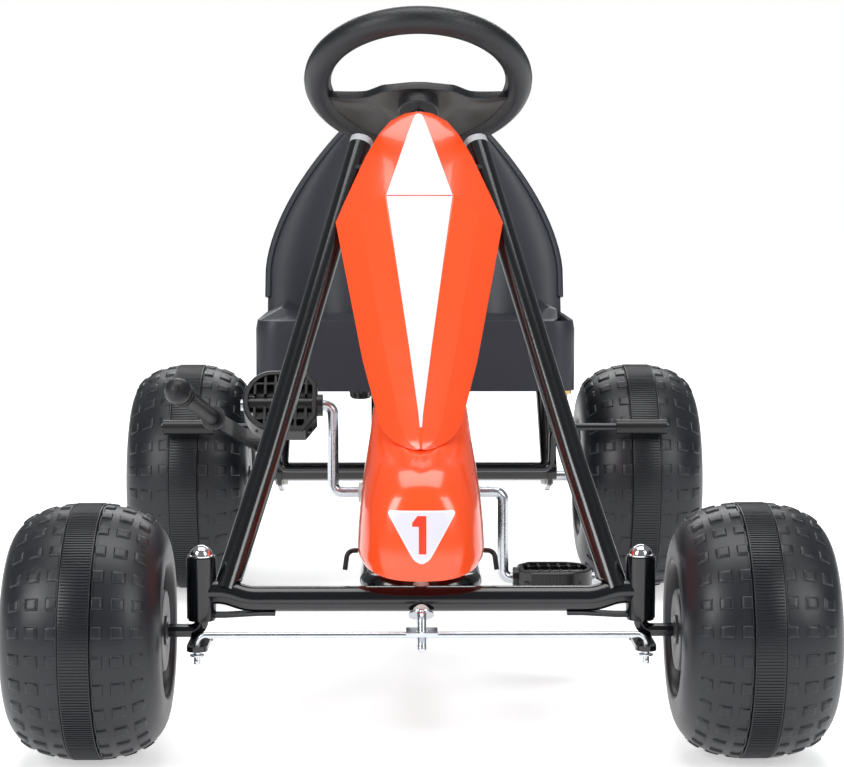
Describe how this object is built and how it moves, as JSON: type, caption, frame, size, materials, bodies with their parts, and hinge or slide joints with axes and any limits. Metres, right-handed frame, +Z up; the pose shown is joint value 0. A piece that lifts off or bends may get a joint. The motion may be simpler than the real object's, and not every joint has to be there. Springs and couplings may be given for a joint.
{
  "type": "pedal go kart",
  "caption": "Child's pedal go kart with a tubular frame, balloon wheels, chain drive, hook-and-tie-rod steering, a hood, a bucket seat on a slide and a hand brake.",
  "frame": {"origin": "middle of the footprint on the ground", "axes": "the front faces -Y, +X is the driver's left, +Z is up"},
  "size_m": [0.644, 0.986, 0.6017],
  "materials": {
    "frame_paint": "gloss black powder coat",
    "wheel_plastic": "semi-gloss blow-moulded",
    "hub_plastic": "satin",
    "black_plastic": "fine grain",
    "seat_plastic": "satin",
    "hood_plastic": "gloss orange red",
    "sticker": "white printed film",
    "zinc": "bright zinc plate",
    "bright_cap": "polished push cap",
    "chain_steel": "oiled steel",
    "grey_plastic": "satin",
    "bush_plastic": "natural nylon",
    "seat_bolt": "yellow zinc plate"
  },
  "bodies": {
    "frame": {"front_beam": "frame_paint", "kingpin_housings": "frame_paint", "beam_gussets": "frame_paint", "steering_stay_left": "frame_paint", "steering_stay_right": "frame_paint", "stay_plugs": "grey_plastic", "column_bracket": "frame_paint", "main_loop": "frame_paint", "rear_cross_tube": "frame_paint", "rear_bearing_plates": "frame_paint", "bearing_bushes": "bush_plastic", "crank_brackets": "frame_paint", "seat_hoop": "frame_paint", "seat_front_stay": "frame_paint", "seat_rails": "frame_paint", "brake_brackets": "frame_paint", "hood_upper": "hood_plastic", "hood_lower": "hood_plastic", "hood_stripe": "sticker", "number_label": "sticker", "hood_clips": "black_plastic", "chain_guard_left": "black_plastic", "chain_guard_right": "black_plastic", "chain": "chain_steel"},
    "steering": {"steering_column": "zinc", "steering_wheel": "black_plastic", "wheel_cap": "black_plastic"},
    "knuckle_left": {"knuckle_left": "frame_paint", "kingpin_cap_left": "bright_cap"},
    "knuckle_right": {"knuckle_right": "frame_paint", "kingpin_cap_right": "bright_cap"},
    "tie_rod": {"tie_rod": "zinc", "tie_rod_plate": "zinc", "split_pins": "zinc"},
    "front_wheel_left": {"front_left_outer": "wheel_plastic", "front_left_inner": "wheel_plastic", "front_left_hub": "hub_plastic"},
    "front_wheel_right": {"front_right_outer": "wheel_plastic", "front_right_inner": "wheel_plastic", "front_right_hub": "hub_plastic"},
    "rear_axle": {"rear_axle": "zinc", "rear_sprocket": "zinc", "rear_right_outer": "wheel_plastic", "rear_right_inner": "wheel_plastic", "rear_right_hub": "hub_plastic"},
    "rear_wheel_left": {"rear_left_outer": "wheel_plastic", "rear_left_inner": "wheel_plastic", "rear_left_hub": "hub_plastic"},
    "crank": {"crank": "zinc", "chainwheel": "zinc"},
    "pedal_left": {"pedal_left": "black_plastic"},
    "pedal_right": {"pedal_right": "black_plastic"},
    "seat": {"seat_shell": "seat_plastic", "seat_bracket": "frame_paint", "seat_bolts": "seat_bolt"},
    "seat_knob": {"seat_knob": "black_plastic"},
    "brake": {"brake_yoke": "frame_paint", "brake_lever": "frame_paint", "brake_grip": "black_plastic", "brake_sleeves": "black_plastic"}
  },
  "joints": [
    {"name": "steering", "type": "hinge", "parent": "frame", "child": "steering", "pos_m": [0, -0.393, 0.125], "axis": [0, 0.5373, 0.8434], "range_deg": [-28, 28]},
    {"name": "knuckle_left_turn", "type": "hinge", "parent": "frame", "child": "knuckle_left", "pos_m": [0.172, -0.393, 0.1], "axis": [0, 0, 1], "range_deg": [-23, 23]},
    {"name": "knuckle_right_turn", "type": "hinge", "parent": "frame", "child": "knuckle_right", "pos_m": [-0.172, -0.393, 0.1], "axis": [0, 0, 1], "range_deg": [-23, 23]},
    {"name": "tie_rod_pivot", "type": "hinge", "parent": "knuckle_right", "child": "tie_rod", "pos_m": [-0.172, -0.433, 0.093], "axis": [0, 0, 1], "range_deg": [-23, 23]},
    {"name": "front_left_spin", "type": "hinge", "parent": "knuckle_left", "child": "front_wheel_left", "pos_m": [0.2585, -0.393, 0.1], "axis": [1, 0, 0], "continuous": true},
    {"name": "front_right_spin", "type": "hinge", "parent": "knuckle_right", "child": "front_wheel_right", "pos_m": [-0.2585, -0.393, 0.1], "axis": [1, 0, 0], "continuous": true},
    {"name": "rear_axle_spin", "type": "hinge", "parent": "frame", "child": "rear_axle", "pos_m": [0, 0.367, 0.126], "axis": [1, 0, 0], "continuous": true},
    {"name": "rear_left_spin", "type": "hinge", "parent": "rear_axle", "child": "rear_wheel_left", "pos_m": [0.25, 0.367, 0.126], "axis": [1, 0, 0], "continuous": true},
    {"name": "crank_spin", "type": "hinge", "parent": "frame", "child": "crank", "pos_m": [0, -0.123, 0.173], "axis": [1, 0, 0], "continuous": true},
    {"name": "pedal_left_spin", "type": "hinge", "parent": "crank", "child": "pedal_left", "pos_m": [0.12, -0.123, 0.094], "axis": [1, 0, 0], "continuous": true},
    {"name": "pedal_right_spin", "type": "hinge", "parent": "crank", "child": "pedal_right", "pos_m": [-0.12, -0.123, 0.252], "axis": [1, 0, 0], "continuous": true},
    {"name": "seat_slide", "type": "slide", "parent": "frame", "child": "seat", "axis": [0, 1, 0], "range_m": [0, 0.025]},
    {"name": "seat_knob_turn", "type": "hinge", "parent": "seat", "child": "seat_knob", "pos_m": [-0.059, 0.255, 0.25], "axis": [0, 0, 1], "continuous": true},
    {"name": "hand_brake", "type": "hinge", "parent": "frame", "child": "brake", "pos_m": [0, 0.256, 0.148], "axis": [-1, 0, 0], "range_deg": [0, 8.5]}
  ],
  "couplings": [
    {"joint": "knuckle_left_turn", "follows": "steering", "ratio": 0.8},
    {"joint": "knuckle_right_turn", "follows": "steering", "ratio": 0.8},
    {"joint": "tie_rod_pivot", "follows": "steering", "ratio": -0.8},
    {"joint": "crank_spin", "follows": "rear_axle_spin", "ratio": 0.45833}
  ]
}
